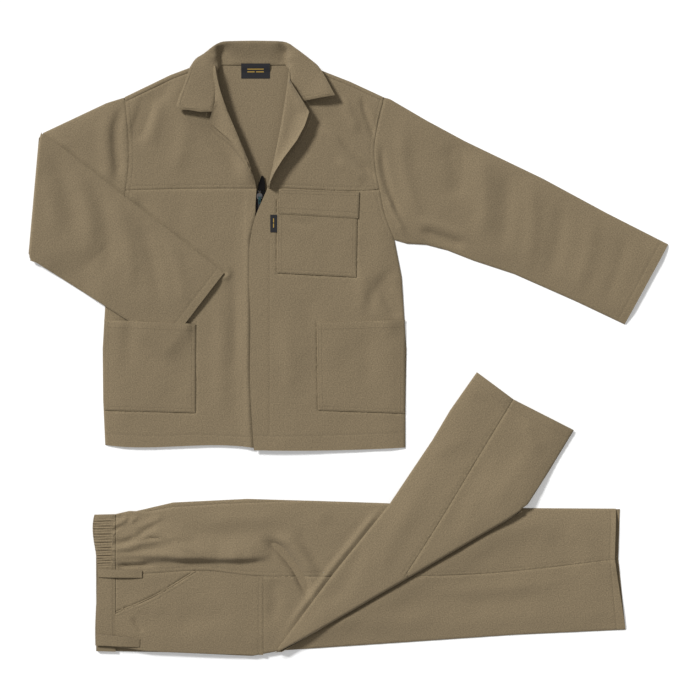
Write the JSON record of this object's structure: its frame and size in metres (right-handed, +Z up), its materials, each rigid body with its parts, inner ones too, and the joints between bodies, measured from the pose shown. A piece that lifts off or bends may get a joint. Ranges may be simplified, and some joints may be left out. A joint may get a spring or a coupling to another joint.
{
  "type": "two-piece protective work suit",
  "caption": "Flat-laid two-piece protective cotton work suit: zip-front collared jacket with patch pockets, and elastic-waist trousers, sleeve and leg folded.",
  "frame": {"origin": "centre of the bounding box's bottom face: the surface that the suit lies on", "axes": "+X across the jacket towards its left sleeve, +Y towards its collar, +Z up from the surface"},
  "size_m": [1.24, 1.194, 0.0198],
  "materials": {
    "drill_cloth": "matt khaki cotton drill, 2/1 twill",
    "woven_label": "black woven label",
    "zip_tape": "dark woven zip tape",
    "zip_teeth": "moulded plastic teeth",
    "slider_metal": "tumbled die-cast metal",
    "pull_metal": "dark lacquered metal",
    "elastic": "woven elastic webbing",
    "button_plastic": "four-hole trouser button"
  },
  "bodies": {
    "jacket": {"back_panel": "drill_cloth", "back_yoke": "drill_cloth", "right_front": "drill_cloth", "left_front": "drill_cloth", "right_front_yoke": "drill_cloth", "left_front_yoke": "drill_cloth", "right_lapel": "drill_cloth", "left_lapel": "drill_cloth", "under_collar": "drill_cloth", "top_collar": "drill_cloth", "neck_label": "woven_label", "side_tab": "woven_label", "chest_pocket": "drill_cloth", "right_hip_pocket": "drill_cloth", "left_hip_pocket": "drill_cloth", "right_upper_sleeve": "drill_cloth", "left_upper_sleeve": "drill_cloth", "right_zip_tape": "zip_tape", "left_zip_tape": "zip_tape", "right_zip_teeth": "zip_teeth", "left_zip_teeth": "zip_teeth", "zip_top_stops": "zip_teeth", "zip_retainer_box": "zip_teeth", "zip_pin": "zip_teeth"},
    "right_forearm": {"right_lower_sleeve": "drill_cloth"},
    "left_forearm": {"left_lower_sleeve": "drill_cloth"},
    "chest_flap": {"chest_flap": "drill_cloth"},
    "zip_slider": {"zip_slider": "slider_metal"},
    "zip_pull": {"zip_pull": "pull_metal"},
    "trousers": {"right_front_leg": "drill_cloth", "right_back_leg": "drill_cloth", "left_front_hip": "drill_cloth", "left_back_hip": "drill_cloth", "left_pocket_panel": "drill_cloth", "right_pocket_panel": "drill_cloth", "left_waistband": "drill_cloth", "right_waistband": "drill_cloth", "left_waist_elastic": "elastic", "right_waist_elastic": "elastic", "left_side_belt_loop": "drill_cloth", "left_front_belt_loop": "drill_cloth", "right_side_belt_loop": "drill_cloth", "right_front_belt_loop": "drill_cloth", "left_fly_zip_tape": "zip_tape", "right_fly_zip_tape": "zip_tape", "left_fly_zip_teeth": "zip_teeth", "right_fly_zip_teeth": "zip_teeth", "waist_button": "button_plastic"},
    "left_leg": {"left_front_leg": "drill_cloth", "left_back_leg": "drill_cloth"},
    "fly_slider": {"fly_slider": "slider_metal"},
    "fly_pull": {"fly_pull": "pull_metal"}
  },
  "joints": [
    {"name": "right_sleeve_fold", "type": "hinge", "parent": "jacket", "child": "right_forearm", "pos_m": [-0.598, 0.421, 0.00655], "axis": [-0.0887, -0.9961, 0], "range_deg": [0, 180], "deforming": ["right_hip_pocket"]},
    {"name": "left_sleeve_fold", "type": "hinge", "parent": "jacket", "child": "left_forearm", "pos_m": [0.224, 0.405, 0.0112], "axis": [0.0728, -0.9973, 0], "range_deg": [0, 180]},
    {"name": "chest_flap_hinge", "type": "hinge", "parent": "jacket", "child": "chest_flap", "pos_m": [-0.138, 0.311, 0.0106], "axis": [0.9995, -0.032, 0], "range_deg": [-150, 0]},
    {"name": "front_zip", "type": "slide", "parent": "jacket", "child": "zip_slider", "axis": [0, 1, 0], "range_m": [-0.46, 0], "deforming": ["right_zip_teeth", "left_zip_teeth"]},
    {"name": "zip_pull_hinge", "type": "hinge", "parent": "zip_slider", "child": "zip_pull", "pos_m": [-0.176, 0.296, 0.0072], "axis": [1, 0, 0], "range_deg": [-180, 0]},
    {"name": "trousers_lift", "type": "slide", "parent": "jacket", "child": "trousers", "axis": [0, 0, 1], "range_m": [0, 0.3]},
    {"name": "left_leg_fold", "type": "hinge", "parent": "trousers", "child": "left_leg", "pos_m": [-0.146, -0.589, 0.01325], "axis": [0.8633, 0.5047, 0], "range_deg": [0, 180]},
    {"name": "fly_zip", "type": "slide", "parent": "trousers", "child": "fly_slider", "axis": [1, 0, 0], "range_m": [0, 0.15]},
    {"name": "fly_pull_hinge", "type": "hinge", "parent": "fly_slider", "child": "fly_pull", "pos_m": [-0.4465, -0.4842, 0.00655], "axis": [0, 0, 1], "range_deg": [0, 90]}
  ]
}
